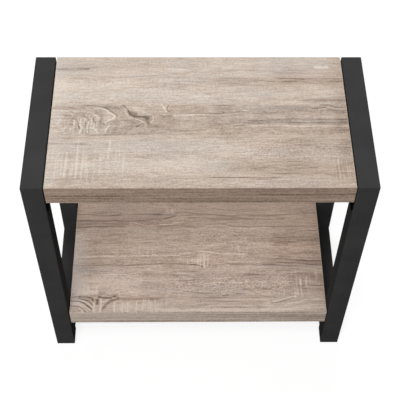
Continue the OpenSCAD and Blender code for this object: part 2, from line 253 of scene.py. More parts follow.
SHELF_PLANKS = [
    Plank(155, -300, 60, 60, -300, 300, 0.11, 0.3),
    Plank(57, -280, 60, 60, -300, 300, 0.05, 0.42),
    Plank(-38, -300, 60, 60, -300, 300, 0.01, 0.55),
    Plank(-115, -400, 60, 60, -300, 300, -0.06, 0.6),
]
SHELF_ZONES = {
    # Painted light that pales the left end, with broad darker patches towards the right
    "painted light at the left end": [
        Mark(-268, 60, -268, -150, 42, 0.0, -0.34, 0.16),
        Mark(150, 14, 310, 6, 56, 0.2, 0.10, -0.12),
        Mark(-130, -100, 130, -100, 14, 0.3, -0.07, 0.15),
    ],
    # Dark streaks that draw together to the right
    "rear streaks": [
        Line([(-275, 93), (-252, 92), (-212, 91), (-190, 90), (-170, 92), (-137, 93), (-80, 93)],
             2.3, 0.6, 0.26),
        Mark(-196, 91, -166, 91, 2.9, 0.4, 0.18, 0.12),
        Mark(-234, 98, -160, 97, 5.5, 0.4, 0.11, 0.18),
        Line([(-275, 75), (-215, 76), (-183, 77), (-163, 74), (-133, 76), (-110, 78), (-75, 80),
              (-62, 84), (-50, 88)], 2.1, 0.5, 0.33),
        Line([(-262, 68), (-247, 67), (-230, 67), (-205, 69), (-187, 68), (-150, 67)],
             2, 0.6, 0.26, 0.06),
        Line([(-275, 61), (-240, 59), (-228, 61), (-203, 61), (-187, 62), (-160, 61)],
             2.2, 0.6, 0.29),
        Mark(-270, 72, -90, 72, 15.4, 0.4, 0.09, 0.09),
        Mark(-96, 90, -40, 88, 7.7, 0.4, 0.11, 0.12),
        Line([(-136, 70), (-118, 65)], 1.7, 0.4, -0.23),
        Line([(-136, 67), (-119, 61)], 1.4, 0.4, 0.18),
        Line([(-66, 112), (-65, 96)], 1.8, 0.5, -0.25),
        Line([(-56, 112), (-55, 95)], 2, 0.5, -0.31),
        Line([(-50, 99), (-30, 98), (-8, 94), (30, 91), (65, 89), (115, 90), (185, 91), (235, 94),
              (275, 97)], 2.4, 0.6, 0.20),
        Line([(-20, 84), (10, 82), (50, 80), (85, 80), (135, 80), (190, 79)], 1.7, 0.5, 0.29),
        Mark(0, 86, 280, 85, 8.8, 0.5, 0.06),
        Line([(-82, 65), (-60, 67), (-30, 74)], 1.7, 0.4, -0.34),
        Line([(-80, 60), (-58, 63), (-44, 67)], 1.7, 0.5, 0.17),
        Mark(-60, 56, -36, 57, 2, 0.5, 0.22),
        Line([(65, 61), (85, 59), (110, 59), (185, 60), (275, 62)], 1.9, 0.6, 0.21),
        Line([(5, 57), (30, 62), (50, 64), (65, 59), (85, 56), (135, 57), (160, 57)],
             1.7, 0.5, -0.27),
    ],
    "brown planks": [
        Mottle(-10, 30, 130, 28, 24, 0.52),
        Line([(195, 51), (235, 50), (275, 50)], 1.9, 0.5, 0.24),
        Mark(66, 36, 96, 36, 2.3, 0.7, 0.12),
        Line([(120, 29), (150, 31), (175, 32), (205, 32)], 1.4, 0.5, 0.08),
        Mark(150, 22, 300, 22, 23.1, 0.0, 0.11),
        Mark(-214, 34, -150, 32, 16.8, 0.4, 0.08),
        Mark(-120, 28, -72, 28, 1.7, 0.7, 0.18),
        Mark(-258, -21, -190, -22, 1.7, 0.6, 0.15, 0.10),
        Line([(-275, -16), (-180, -16), (-90, -14), (-45, -15), (-23, -8), (-12, -6), (3, -3),
              (33, -6), (48, -11), (105, -11)], 2.2, 0.5, -0.32),
        Mark(-16, -20, 12, -20, 1.3, 0.3, -0.24),
        Mark(-16, -25, 12, -25, 1.3, 0.3, -0.24),
        Mark(-16, -30, 12, -30, 1.3, 0.3, -0.22),
        Mark(-96, 50, -8, 48, 36, 0.2, 0.09),
    ],
    "spots": [
        Line([(-275, -37), (-242, -39), (-215, -39), (-190, -37), (-153, -39), (-123, -37),
              (-100, -36), (-80, -35), (-50, -36), (-23, -36), (-15, -38), (3, -39)],
             1.7, 0.5, 0.31),
        Line([(-14, -37), (2, -39)], 2.8, 0.4, 0.31, 0.08),
        Line([(7, -41), (9, -41)], 2.4, 0.2, 0.51),
        Line([(8, -33), (8, -34)], 2.2, 0.3, 0.29),
        Line([(17, -28), (18, -29)], 2.3, 0.3, 0.34),
        Line([(17, -35), (18, -37)], 2.3, 0.3, 0.39),
        Line([(25, -37), (25, -39)], 2.2, 0.3, 0.37),
        Line([(33, -39), (34, -40)], 2.2, 0.3, 0.26),
        Line([(-21, -17), (-21, -35)], 1.3, 0.4, -0.27),
        Line([(13, -10), (14, -46)], 1.4, 0.4, -0.40),
        Line([(22, -12), (22, -36)], 1.5, 0.4, -0.36),
    ],
    "brown streaks": [
        Line([(123, -22), (147, -22), (163, -23), (180, -22), (197, -24), (213, -26), (230, -28),
              (247, -29), (275, -30)], 2.3, 0.6, 0.24, 0.12),
        Mark(205, -28, 300, -32, 5.5, 0.4, 0.10, 0.12),
        Line([(175, -17), (197, -18), (223, -20), (275, -22)], 1.8, 0.6, 0.16, 0.12),
        Line([(170, -32), (207, -33), (227, -37), (275, -39)], 2.2, 0.6, 0.18, 0.12),
        Line([(37, -39), (65, -35), (88, -37), (107, -36), (120, -37), (128, -40), (157, -38),
              (197, -41), (213, -41)], 2.1, 0.6, 0.20, 0.12),
        Mark(130, -36, 300, -42, 17, 0.3, 0.15, 0.12),
        Mark(58, -39, 70, -39, 2.2, 0.3, -0.35),
        Mark(100, -32, 136, -32, 2, 0.5, -0.18),
    ],
    "grey plank": [
        Mottle(-90, -84, 220, -86, 30, 0.68),
        Mark(-265, -52, -180, -50, 9.5, 0.5, 0.07, 0.15),
        Mark(-120, -57, -40, -57, 7.4, 0.5, 0.14, 0.09),
        Mark(-44, -55, 10, -56, 3.2, 1.0, 0.19),
        Mark(-40, -75, -4, -75, 3.2, 1.0, 0.17),
        Mark(-330, -78, -105, -88, 30, 0.5, -0.22, -0.18),
        Mark(-231, -101, -208, -101, 6.3, 0.5, -0.20),
        Line([(10, -87), (37, -82), (57, -83), (70, -80), (90, -83)], 1.6, 0.6, -0.25),
        Line([(-15, -103), (0, -107), (30, -107)], 1.5, 0.5, 0.32, 0.15),
        Mark(-32, -103, -16, -103, 2.1, 0.7, 0.29, 0.09),
        Mark(50, -113, 66, -113, 2.1, 0.6, 0.37, 0.09),
        Mark(74, -109, 102, -109, 2.1, 0.7, 0.37, 0.09),
        Line([(97, -62), (120, -61), (143, -63)], 1.7, 0.7, 0.27),
        Line([(165, -53), (182, -52), (198, -54)], 1.8, 0.6, 0.31),
        Line([(80, -92), (97, -95), (113, -103), (130, -112), (147, -117), (162, -118)],
             1.6, 0.6, 0.24),
        Line([(120, -92), (143, -98), (152, -98)], 1.6, 0.6, 0.24),
        Mark(184, -72, 300, -94, 31, 0.3, 0.21, 0.09),
        Mark(232, -66, 285, -66, 8.4, 0.2, 0.10),
        Mark(234, -90, 290, -90, 1.9, 0.5, 0.34),
        Line([(216, -74), (217, -116)], 1.9, 0.8, -0.44),
        Line([(203, -90), (203, -116)], 1.5, 0.7, -0.28),
        Line([(180, -98), (180, -112)], 1.5, 0.3, -0.42),
        Line([(229, -68), (229, -92)], 2.5, 0.9, -0.23),
    ],
    # Arcs that run in from the left and turn to the front
    "swirl": [
        Line([(-275, -115), (-246, -115)], 2.2, 0.2, 0.60, 0.15),
        Line([(-275, -125), (-247, -125), (-237, -130), (-227, -138), (-220, -144)],
             2.6, 0.3, 0.57, 0.10),
        Mark(-282, -120, -240, -120, 2.6, 0.1, 0.11, 0.30),
        Line([(-246, -115), (-230, -116), (-221, -119), (-217, -126)], 2.6, 0.4, 0.51),
        Line([(-249, -119), (-237, -121), (-226, -127), (-219, -134)], 2.4, 0.4, 0.48),
        Line([(-249, -122), (-236, -126), (-226, -132), (-220, -139)], 1.5, 0.3, -0.71, -0.15),
        Line([(-262, -129), (-246, -130), (-234, -137), (-224, -146)], 1.6, 0.3, -0.69, -0.15),
        Line([(-262, -137), (-246, -138), (-236, -144), (-231, -152)], 2, 0.4, 0.39),
        Line([(-258, -133), (-246, -134), (-238, -140), (-229, -151)], 1.6, 0.3, -0.63, -0.15),
        Line([(-246, -142), (-240, -147), (-238, -153)], 1.8, 0.3, -0.57, -0.15),
        Line([(-216, -128), (-216, -150)], 4, 0.4, -0.34, -0.15),
        Line([(-209, -123), (-209, -131)], 4, 0.3, 0.57, -0.10),
        Line([(-202, -121), (-201, -135), (-203, -151)], 2.7, 0.4, -0.76, -0.15),
        Line([(-207, -116), (-197, -118), (-182, -118), (-173, -114)], 3.2, 0.3, 0.51),
        Line([(-178, -118), (-169, -118)], 1.6, 0.2, -0.63, -0.15),
        Line([(-198, -128), (-186, -121)], 2.2, 0.3, -0.39, -0.15),
        Line([(-197, -144), (-191, -134), (-181, -125), (-168, -118)], 4.6, 0.5, 0.39, 0.10),
        Mark(-178, -120, -70, -120, 4.6, 0.3, 0.32, -0.10),
        Mark(-172, -140, -70, -140, 11, 0.3, -0.15),
        Mark(-256, -104, -206, -104, 9, 0.3, -0.18, -0.15),
    ],
    "front plank": [
        Line([(-173, -128), (-173, -152)], 2.4, 0.5, -0.60, -0.15),
        Line([(-157, -130), (-157, -152)], 2.4, 0.5, -0.58, -0.15),
        Line([(-146, -130), (-146, -152)], 2.2, 0.5, -0.58, -0.15),
        Line([(-128, -128), (-128, -148)], 1.8, 0.5, -0.40, -0.15),
        Line([(-115, -130), (-115, -146)], 1.7, 0.5, -0.33, -0.15),
        Line([(-98, -128), (-98, -144)], 1.8, 0.5, -0.33, -0.15),
        Mark(-60, -118, 150, -118, 1.7, 0.7, 0.23),
        Mark(-14, -126, 160, -127, 1.8, 0.7, 0.20),
        Mark(30, -123, 150, -123, 1.4, 0.5, -0.26),
        Mark(10, -136, 160, -137, 1.5, 0.5, -0.29, -0.15),
        Mark(36, -141, 170, -141, 1.4, 0.6, 0.16),
        Mark(-120, -147, 230, -147, 6, 0.4, -0.30, -0.15),
        Line([(157, -127), (173, -123), (190, -118), (203, -116)], 1.9, 0.4, -0.48, -0.15),
        Line([(152, -132), (173, -127), (197, -119)], 1.8, 0.5, 0.29),
        Line([(187, -133), (205, -130), (223, -123), (252, -121)], 1.7, 0.5, -0.31, -0.15),
        Line([(170, -143), (205, -137), (236, -129), (275, -126)], 1.5, 0.6, 0.22),
        Mark(-270, -140, -222, -152, 4.4, 0.5, 0.11),
        Mark(130, -137, 240, -140, 12, 0.4, -0.20, -0.10),
    ],
}
SHELF_SAW_MARKS = [
    SawMarks(-108, -5, 24, 14, 0.5),
    SawMarks(2, -28, 28, 20, 0.7),
    SawMarks(88, -4, 24, 14, 0.6),
    SawMarks(-62, 106, 16, 16, 0.4),
    SawMarks(226, -86, 34, 34, 0.5),
    SawMarks(-120, -136, 70, 18, 0.7),
    SawMarks(-225, -100, 22, 12, 0.9),
]


def colour(red, green, blue):
    """A colour given as it shows on a screen, each part from 0 to 255, in linear light."""
    parts = [part / 255 for part in (red, green, blue)]
    linear = [p / 12.92 if p <= 0.04045 else ((p + 0.055) / 1.055) ** 2.4 for p in parts]
    return (*linear, 1.0)


# The shades of the boards' print, from its palest wood at 0 to its darkest at 1
DRIFTWOOD = [
    (0.00, colour(246, 229, 209)),
    (0.30, colour(224, 203, 182)),
    (0.50, colour(204, 180, 158)),
    (0.75, colour(171, 147, 126)),
    (1.00, colour(118, 96, 78)),
]
# What those shades are multiplied by where the wood is all grey, and on each board
GREYED = colour(227, 239, 255)
TOP_SHADE = colour(249, 248, 248)
# The shelf's tint, also used on the undersides, is darker and warmer: partly painted shade and
# painted warm bounced light from the top board above
SHELF_SHADE = colour(248, 241, 240)

# The shades of the edge bands: a brown one along the top board, and a pale one elsewhere
BROWN_BAND = [
    (0.00, colour(193, 172, 154)),
    (0.35, colour(176, 153, 135)),
    (0.65, colour(152, 129, 112)),
    (1.00, colour(113, 92, 78)),
]
PALE_BAND = [
    (0.00, colour(236, 219, 203)),
    (0.35, colour(219, 201, 185)),
    (0.65, colour(194, 175, 159)),
    (1.00, colour(150, 132, 118)),
]


class Nodes:
    """Builds the nodes of one material or group."""

    def __init__(self, tree):
        self.tree = tree

    def add(self, kind, **settings):
        node = self.tree.nodes.new(kind)
        for name, value in settings.items():
            setattr(node, name, value)
        return node

    def feed(self, socket, value):
        """Links the socket to another one, or sets its own value."""
        if isinstance(value, bpy.types.NodeSocket):
            self.tree.links.new(value, socket)
        else:
            socket.default_value = value

    def feed_all(self, sockets, values):
        for socket, value in zip(sockets, values):
            self.feed(socket, value)

    def calc(self, operation, *values, limited=False):
        node = self.add("ShaderNodeMath", operation=operation, use_clamp=limited)
        self.feed_all(node.inputs, values)
        return node.outputs[0]

    def limited(self, value):
        """The value, held between 0 and 1."""
        return self.calc("ADD", value, 0, limited=True)

    def total(self, *values):
        result = values[0]
        for value in values[1:]:
            result = self.calc("ADD", result, value)
        return result

    def times(self, *values):
        result = values[0]
        for value in values[1:]:
            result = self.calc("MULTIPLY", result, value)
        return result

    def centred(self, value):
        """A value from 0 to 1, moved to lie around 0."""
        return self.calc("SUBTRACT", value, 0.5)

    def sway(self, value, amount):
        """Turns 0..1 into a sway around 0, by half the amount to each side."""
        return self.times(self.centred(value), amount)

    def hump(self, value):
        """1 where the value is a half, 0 where it is 0 or 1, and below 0 outside them."""
        return self.times(value, self.calc("SUBTRACT", 1, value), 4)

    def length(self, first, second):
        """The long side of a triangle that has these two at its right angle."""
        return self.calc("SQRT", self.total(self.times(first, first), self.times(second, second)))

    def ramp(self, value, low, high, to_low=0.0, to_high=1.0):
        """Turns low..high into to_low..to_high, with soft ends and held outside them."""
        node = self.add("ShaderNodeMapRange", interpolation_type="SMOOTHSTEP")
        self.feed_all(node.inputs, (value, low, high, to_low, to_high))
        return node.outputs[0]

    def place(self, x, y, z=0.0):
        node = self.add("ShaderNodeCombineXYZ")
        self.feed_all(node.inputs, (x, y, z))
        return node.outputs[0]

    def split(self, vector):
        node = self.add("ShaderNodeSeparateXYZ")
        self.feed(node.inputs[0], vector)
        return node.outputs

    def dot(self, first, second):
        node = self.add("ShaderNodeVectorMath", operation="DOT_PRODUCT")
        self.feed_all(node.inputs, (first, second))
        return node.outputs["Value"]

    def scaled(self, vector, factor):
        node = self.add("ShaderNodeVectorMath", operation="SCALE")
        self.feed(node.inputs[0], vector)
        self.feed(node.inputs["Scale"], factor)
        return node.outputs[0]

    def add_scaled(self, factor, vector, added):
        """The vector times the factor, added to another vector."""
        factors = self.place(factor, factor, factor)
        node = self.add("ShaderNodeVectorMath", operation="MULTIPLY_ADD")
        self.feed_all(node.inputs, (factors, vector, added))
        return node.outputs[0]

    def noise(self, vector, detail=1.0, roughness=0.5):
        """Cloudy noise from 0 to 1, one cloud to each unit of the vector."""
        node = self.add("ShaderNodeTexNoise")
        self.feed(node.inputs["Vector"], vector)
        node.inputs["Scale"].default_value = 1.0
        node.inputs["Detail"].default_value = detail
        node.inputs["Roughness"].default_value = roughness
        return node.outputs[0]

    def clouds(self, x, y, seed, per_metre, detail=1.0, roughness=0.5):
        """Noise from 0 to 1, with so many clouds to the metre along x and along y.

        Another seed gives other clouds.
        """
        place = self.place(self.times(x, per_metre[0]), self.times(y, per_metre[1]), seed)
        return self.noise(place, detail, roughness)

    def blend(self, factor, first, second):
        node = self.add("ShaderNodeMix", data_type="FLOAT")
        self.feed_all(node.inputs[:1] + node.inputs[2:4], (factor, first, second))
        return node.outputs[0]

    def tint(self, factor, first, second):
        """The first colour, multiplied by the second as far as the factor says."""
        node = self.add("ShaderNodeMix", data_type="RGBA", blend_type="MULTIPLY")
        self.feed_all(node.inputs[:1] + node.inputs[6:8], (factor, first, second))
        return node.outputs[2]

    def shades(self, value, stops):
        """Turns a value from 0 to 1 into a colour between the stops."""
        node = self.add("ShaderNodeValToRGB")
        elements = node.color_ramp.elements
        while len(elements) < len(stops):
            elements.new(0.5)
        for element, (position, shade) in zip(elements, stops):
            element.position = position
            element.color = shade
        self.feed(node.inputs[0], value)
        return node.outputs[0]

    def use(self, group, **values):
        """Places a node group. A value is named as its socket, with _ for a space."""
        node = self.add("ShaderNodeGroup", node_tree=group)
        for name, value in values.items():
            self.feed(node.inputs[name.replace("_", " ")], value)
        return node.outputs

    def bump(self, height, depth):
        """A normal from a height, where 1 stands for that depth."""
        node = self.add("ShaderNodeBump")
        node.inputs["Distance"].default_value = depth
        self.feed(node.inputs["Height"], height)
        return node.outputs[0]


VECTOR_INPUTS = ("Vector", "Place", "Along", "Across")


def new_group(name, inputs, outputs):
    """A shader node group. The inputs in VECTOR_INPUTS are vectors, the others numbers."""
    group = bpy.data.node_groups.new(name, "ShaderNodeTree")
    for label in inputs:
        kind = "NodeSocketVector" if label in VECTOR_INPUTS else "NodeSocketFloat"
        group.interface.new_socket(label, in_out="INPUT", socket_type=kind)
    for label in outputs:
        group.interface.new_socket(label, in_out="OUTPUT", socket_type="NodeSocketFloat")
    nodes = Nodes(group)
    return group, nodes, nodes.add("NodeGroupInput").outputs, nodes.add("NodeGroupOutput").inputs


def growth_rings_group():
    """Rings round a pith that dips along the board, so that they close into a figure."""
    group, n, given, result = new_group(
        "growth rings",
        ["Vector", "Pith", "Left Depth", "Right Depth", "Bend Start", "Bend End", "Seed"],
        ["Lines", "Broad", "Figure"])
    x, y, _ = n.split(given["Vector"])
    seed = given["Seed"]
    wave = n.sway(n.clouds(x, y, seed, per_metre=(5, 16), detail=2), RING_WAVE)
    ripple = n.sway(n.clouds(x, y, seed, per_metre=(32, 70)), RING_RIPPLE)
    across = n.total(y, wave, ripple, n.times(given["Pith"], -1))
    across = n.calc("MAXIMUM", across, n.times(across, -RING_FRONT))
    bend = n.ramp(x, given["Bend Start"], given["Bend End"])
    figure = n.hump(bend)
    swirl = n.centred(n.clouds(x, y, seed, per_metre=(30, 40), detail=3))
    depth = n.total(n.blend(bend, given["Left Depth"], given["Right Depth"]),
                    n.times(swirl, figure, RING_SWIRL))
    radius = n.length(across, depth)
    n.feed(result["Lines"],
           n.clouds(radius, x, seed, per_metre=(330, 16), detail=4, roughness=0.7))
    n.feed(result["Broad"], n.clouds(radius, x, seed, per_metre=(70, 4), detail=2))
    n.feed(result["Figure"], figure)
    return group


def wood_fibres_group():
    """Fine fibres and short open pores that run along X, and flecks that cross them."""
    group, n, given, result = new_group(
        "wood fibres", ["Vector", "Seed"], ["Fibres", "Flecks", "Pores"])
    x, y, _ = n.split(given["Vector"])
    seed = given["Seed"]
    wave = n.clouds(x, y, seed, per_metre=(14, 40))
    across = n.total(y, n.times(wave, FIBRE_WAVE))
    n.feed(result["Fibres"],
           n.clouds(x, across, seed, per_metre=(45, 400), detail=2, roughness=0.6))
    n.feed(result["Flecks"],
           n.clouds(x, across, seed, per_metre=(280, 360), detail=2, roughness=0.6))
    pores = n.clouds(x, across, seed, per_metre=(95, 1500))
    n.feed(result["Pores"], n.ramp(pores, 0.62, 0.74))
    return group


def saw_marks_group():
    """Pale strokes across the grain, left by a saw inside one patch."""
    group, n, given, result = new_group(
        "saw marks", ["Vector", "X", "Y", "Half X", "Half Y"], ["Strokes"])
    x, y, _ = n.split(given["Vector"])

    def away(value, middle, half_size):
        """How far the place is from the patch's middle, in half sizes."""
        distance = n.calc("ABSOLUTE", n.calc("SUBTRACT", value, given[middle]))
        return n.calc("DIVIDE", distance, given[half_size])

    # The strokes fade out towards the patch's sides, and end raggedly at its front and rear
    ragged = n.sway(n.clouds(x, y, seed=0, per_metre=(120, 18)), 1.2)
    inside_x = n.ramp(away(x, "X", "Half X"), 1.0, 0.7)
    inside_y = n.ramp(n.total(away(y, "Y", "Half Y"), ragged), 1.05, 0.75)
    strokes = n.ramp(n.clouds(x, y, seed=0, per_metre=(210, 14)), 0.45, 0.75)
    n.feed(result["Strokes"], n.times(strokes, n.times(inside_x, inside_y)))
    return group


def mark_group():
    """A mark along a line: 1 on the line and 0 past its half width and its ends.

    Along and Across give, for a place with a Z of 1, how far along the mark it is from 0
    to 1, and how far across in half widths.
    """
    group, n, given, result = new_group(
        "mark", ["Place", "Along", "Across", "Bow", "Torn", "Grain", "Ragged"], ["Mark"])
    along = n.dot(given["Place"], given["Along"])
    across = n.dot(given["Place"], given["Across"])
    swell = n.hump(along)
    bowed = n.calc("SUBTRACT", across, n.times(given["Bow"], swell))
    away = n.calc("MULTIPLY_ADD", given["Torn"], given["Ragged"], n.calc("ABSOLUTE", bowed))
    streaks = n.calc("MULTIPLY_ADD", given["Grain"], given["Ragged"], 1)
    # Towards its ends the mark fades out
    ends = n.ramp(swell, 0, 0.5)
    n.feed(result["Mark"], n.times(n.ramp(away, *MARK_EDGE), ends, streaks))
    return group


def line_group():
    """How far it is to the line between two points, or to an earlier one that is nearer.

    Along and Across are as for a mark, but both in half widths, and so is Length.
    """
    group, n, given, result = new_group(
        "line", ["Place", "Along", "Across", "Length", "Nearest"], ["Distance"])
    along = n.dot(given["Place"], given["Along"])
    across = n.dot(given["Place"], given["Across"])
    beside = n.calc("MINIMUM", n.calc("MAXIMUM", along, 0), given["Length"])
    distance = n.length(n.calc("SUBTRACT", along, beside), across)
    n.feed(result["Distance"], n.calc("MINIMUM", distance, given["Nearest"]))
    return group


def add_mark(n, groups, given, mark, **values):
    """The shape of one mark: 1 inside it and 0 outside."""
    start = Vector((mark.x0, mark.y0)) * MM
    way = Vector((mark.x1, mark.y1)) * MM - start
    along = way / way.length_squared
    across = way.orthogonal().normalized() / (mark.half_width * MM)
    return n.use(groups["mark"], Place=given["Place"], Along=(*along, -along.dot(start)),
                 Across=(*across, -across.dot(start)), **values)["Mark"]


# Farther from every line than any place on a board, in half widths
FAR = 1000.0


def add_line(n, groups, given, line):
    """The shape of a line through several points: 1 inside it and 0 outside."""
    nearest = FAR
    for start, end in zip(line.points, line.points[1:]):
        start = Vector(start) / line.half_width
        way = Vector(end) / line.half_width - start
        along = way.normalized()
        across = way.orthogonal().normalized()
        per_metre = 1 / (line.half_width * MM)
        step = n.use(groups["line"], Place=given["Place"], Length=way.length, Nearest=nearest,
                     Along=(*along * per_metre, -along.dot(start)),
                     Across=(*across * per_metre, -across.dot(start)))
        nearest = step["Distance"]
    away = n.calc("MULTIPLY_ADD", given["Torn"], line.ragged, nearest)
    # The rings break a line half as much as a mark
    streaks = n.calc("MULTIPLY_ADD", given["Grain"], 0.5 * line.ragged, 1)
    return n.times(n.ramp(away, *MARK_EDGE), streaks)


def zone_group(name, groups, items):
    """All the marks, lines and mottled patches of one zone of the print."""
    group, n, given, result = new_group(name, ["Place", "Torn", "Grain", "Dots"], ["Dark", "Grey"])
    # Dark and grey go together as the X and Y of one vector, which saves the renderer space
    added = (0.0, 0.0, 0.0)
    for item in items:
        if isinstance(item, Mottle):
            shape = n.times(add_mark(n, groups, given, item), given["Dots"])
            change = (item.strength, 0, 0)
        elif isinstance(item, Line):
            shape = add_line(n, groups, given, item)
            change = (item.dark, item.grey, 0)
        else:
            shape = add_mark(n, groups, given, item, Bow=item.bow / item.half_width,
                             Torn=given["Torn"], Grain=given["Grain"], Ragged=item.ragged)
            change = (item.dark, item.grey, 0)
        added = n.add_scaled(shape, change, added)
    dark, grey, _ = n.split(added)
    n.feed(result["Dark"], dark)
    n.feed(result["Grey"], grey)
    return group


def fine_texture_group():
    """The small bumps of a sprayed or moulded surface, and its faint clouds."""
    group, n, given, result = new_group("fine texture", ["Vector", "Bumps"], ["Height", "Clouds"])
    n.feed(result["Height"], n.noise(n.scaled(given["Vector"], given["Bumps"]), detail=2))
    n.feed(result["Clouds"], n.noise(n.scaled(given["Vector"], COAT_CLOUDS), detail=3))
    return group


def new_material(name):
    """A material with its nodes, its Principled BSDF's inputs and its object coordinates."""
    material = bpy.data.materials.new(name)
    material.use_nodes = True
    n = Nodes(material.node_tree)
    shader = material.node_tree.nodes["Principled BSDF"].inputs
    return material, n, shader, n.add("ShaderNodeTexCoord").outputs["Object"]


def set_surface(n, shader, base, roughness, height, depth):
    """Sets the colour, the roughness and the relief, where a height of 1 is that deep."""
    n.feed(shader["Base Color"], base)
    n.feed(shader["Roughness"], roughness)
    n.feed(shader["Normal"], n.bump(height, depth))


def driftwood(name, groups, shade, planks, zones, saw_marks):
    """Printed laminate: planks of driftwood side by side, with their marks."""
    material, n, shader, place = new_material(name)
    x, y, _ = n.split(place)

    def by_plank(pick):
        """The value that each plank has, stepped at the planks' edges."""
        value = pick(0, planks[0])
        for number, plank in enumerate(planks[1:], 1):
            in_front = n.calc("LESS_THAN", y, plank.rear * MM)
            value = n.blend(in_front, value, pick(number, plank))
        return value

    # Each plank of each board has its own grain
    seed = by_plank(lambda number, _: SEED_STEP * number + len(name))
    rings = n.use(groups["rings"], Vector=place, Seed=seed,
                  Pith=by_plank(lambda _, plank: plank.pith * MM),
                  Left_Depth=by_plank(lambda _, plank: plank.left_depth * MM),
                  Right_Depth=by_plank(lambda _, plank: plank.right_depth * MM),
                  Bend_Start=by_plank(lambda _, plank: plank.bend_start * MM),
                  Bend_End=by_plank(lambda _, plank: plank.bend_end * MM))
    fibres = n.use(groups["fibres"], Vector=place, Seed=seed)
    clouds = n.clouds(x, y, seed, per_metre=(9, 28), detail=3)

    # The marks waver with the grain, the fibres tear their edges and the rings break their
    # insides. They are added up first, because the renderer keeps few values in hand.
    waver = n.centred(n.clouds(x, y, seed=5.0, per_metre=(28, 28), detail=2))
    wavering = n.place(n.total(x, n.times(waver, WAVER_ALONG)),
                       n.total(y, n.times(waver, WAVER_ACROSS)), 1)
    both_fibres = n.total(fibres["Fibres"], fibres["Flecks"])
    torn = n.times(n.calc("SUBTRACT", both_fibres, 1.0), TORN_EDGE)
    grain = n.sway(rings["Lines"], BROKEN_INSIDE)
    dots = n.centred(fibres["Flecks"])
    marked = 0.0
    greyed = 0.0
    for zone, items in zones.items():
        drawn = n.use(zone_group(zone, groups, items), Place=wavering, Torn=torn, Grain=grain,
                      Dots=dots)
        marked = n.calc("ADD", drawn["Dark"], marked)
        greyed = n.calc("ADD", drawn["Grey"], greyed)
    for patch in saw_marks:
        strokes = n.use(groups["saw marks"], Vector=place, X=patch.x * MM, Y=patch.y * MM,
                        Half_X=patch.half_x * MM, Half_Y=patch.half_y * MM)
        marked = n.calc("MULTIPLY_ADD", strokes["Strokes"], -SAW_BLEACH * patch.strength, marked)

    lines_strength = n.total(BOARD_PRINT["lines"], n.times(rings["Figure"], BOARD_PRINT["figure"]))
    dark = n.total(
        BOARD_PRINT["plain"], marked, by_plank(lambda _, plank: plank.dark),
        n.sway(clouds, BOARD_PRINT["clouds"]),
        n.sway(rings["Broad"], BOARD_PRINT["broad rings"]),
        n.sway(rings["Lines"], lines_strength),
        n.sway(fibres["Fibres"], BOARD_PRINT["fibres"]),
        n.times(dots, BOARD_PRINT["flecks"]),
        n.times(fibres["Pores"], BOARD_PRINT["pores"]))
    grey = n.total(greyed, by_plank(lambda _, plank: plank.grey), n.sway(clouds, GREY_CLOUDS))

    wood = n.shades(n.limited(dark), DRIFTWOOD)
    wood = n.tint(n.limited(grey), wood, GREYED)
    # Lines, fibres and pores lie below the rest of the face
    relief = n.total(n.times(rings["Lines"], -0.3), n.times(fibres["Fibres"], -0.4),
                     n.times(fibres["Pores"], -0.3), 1)
    shader["Specular IOR Level"].default_value = LAMINATE_GLOSS
    set_surface(
        n, shader,
        base=n.tint(1, wood, shade),
        roughness=n.ramp(fibres["Fibres"], 0.2, 0.8, to_low=0.42, to_high=0.56),
        height=relief, depth=0.12 * MM)
    return material


def edge_band(name, groups, along, shades, right_painted_shade):
    """A printed edge band, with its grain along the band, and painted shade towards its right end.
    """
    material, n, shader, place = new_material(name)
    sides = dict(zip("xyz", n.split(place)))
    # The far side of the board gets other grain than the near side
    seed = n.times(sides["y" if along == "x" else "x"], SEED_PER_METRE)
    turned = n.place(sides[along], sides["z"], seed)
    # The pith lies far below, so that the rings run straight along the band
    rings = n.use(groups["rings"], Vector=turned, Seed=seed, Pith=-400 * MM,
                  Left_Depth=60 * MM, Right_Depth=60 * MM, Bend_Start=-300 * MM,
                  Bend_End=300 * MM)
    fibres = n.use(groups["fibres"], Vector=turned, Seed=seed)
    streaks = n.clouds(sides[along], sides["z"], seed, per_metre=(2.5, 230))
    dark = n.total(
        BAND_PRINT["plain"],
        n.times(n.ramp(sides["x"], *RIGHT_END_PAINTED_SHADE), right_painted_shade),
        n.sway(rings["Broad"], BAND_PRINT["broad rings"]),
        n.sway(rings["Lines"], BAND_PRINT["lines"]),
        n.sway(streaks, BAND_PRINT["streaks"]),
        n.sway(fibres["Flecks"], BAND_PRINT["flecks"]),
        n.sway(fibres["Fibres"], BAND_PRINT["fibres"]))
    shader["Specular IOR Level"].default_value = LAMINATE_GLOSS
    set_surface(
        n, shader,
        base=n.shades(dark, shades),
        roughness=n.ramp(fibres["Fibres"], 0.2, 0.8, to_low=0.45, to_high=0.6),
        height=n.total(fibres["Fibres"], rings["Lines"]), depth=0.1 * MM)
    return material


def painted_steel(name, groups, dark_shade, bright_shade):
    """Dark powder coat or paint with its fine orange peel."""
    material, n, shader, place = new_material(name)
    texture = n.use(groups["texture"], Vector=place, Bumps=900)
    shader["Specular IOR Level"].default_value = COAT_GLOSS
    set_surface(
        n, shader,
        base=n.shades(n.ramp(texture["Clouds"], 0.3, 0.7),
                      [(0.0, dark_shade), (1.0, bright_shade)]),
        roughness=n.ramp(texture["Clouds"], 0.3, 0.7, to_low=0.52, to_high=0.60),
        height=texture["Height"], depth=0.04 * MM)
    return material


def foot_plastic(groups):
    """Black plastic with a fine moulded grain."""
    material, n, shader, place = new_material("foot plastic")
    texture = n.use(groups["texture"], Vector=place, Bumps=2200)
    set_surface(
        n, shader,
        base=n.shades(texture["Clouds"], [(0.0, colour(19, 19, 20)), (1.0, colour(27, 27, 28))]),
        roughness=n.ramp(texture["Height"], 0.2, 0.8, to_low=0.5, to_high=0.7),
        height=texture["Height"], depth=0.05 * MM)
    return material


